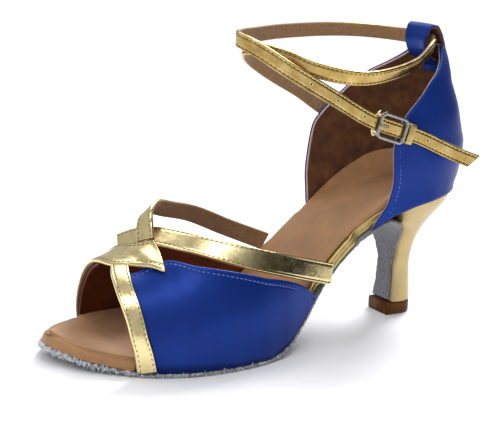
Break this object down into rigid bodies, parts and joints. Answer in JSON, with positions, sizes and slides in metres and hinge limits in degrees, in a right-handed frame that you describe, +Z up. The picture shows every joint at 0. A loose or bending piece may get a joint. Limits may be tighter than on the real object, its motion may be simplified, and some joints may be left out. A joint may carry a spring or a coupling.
{
  "type": "ballroom dance shoe",
  "caption": "Open-toe Latin dance sandal, left shoe: satin heel cup and vamp panels, gold straps wound twice round the ankle to a buckle, suede sole and a flared heel of about 6 cm.",
  "frame": {"origin": "under the middle of the shoe's box, on the floor plane that the ball of the sole and the heel tip stand on", "axes": "+X along the length towards the heel, the toe towards -X; -Y the outer side with the buckle; +Z up"},
  "size_m": [0.2104, 0.083, 0.1395],
  "materials": {
    "suede": "grey chrome suede, napped",
    "gold_leather": "metallic gold coated leather, semi-gloss",
    "tan_insole": "matte tan lining leather",
    "blue_satin": "dark blue satin",
    "buckle_metal": "darkened nickel plating",
    "heel_cover": "gold coated heel cover, satin gloss",
    "tip_rubber": "brown heel top piece"
  },
  "bodies": {
    "root": {"outsole": "suede", "insole_board": "gold_leather", "insole_sock": "tan_insole", "vamp_panel_lateral": "blue_satin", "vamp_panel_medial": "blue_satin", "vamp_straps": "gold_leather", "counter": "blue_satin", "back_loop": "blue_satin", "ankle_strap": "gold_leather", "buckle_frame": "buckle_metal", "buckle_prong": "buckle_metal", "buckle_anchor_strap": "gold_leather", "heel_block": "heel_cover", "heel_tip": "tip_rubber"}
  },
  "joints": []
}
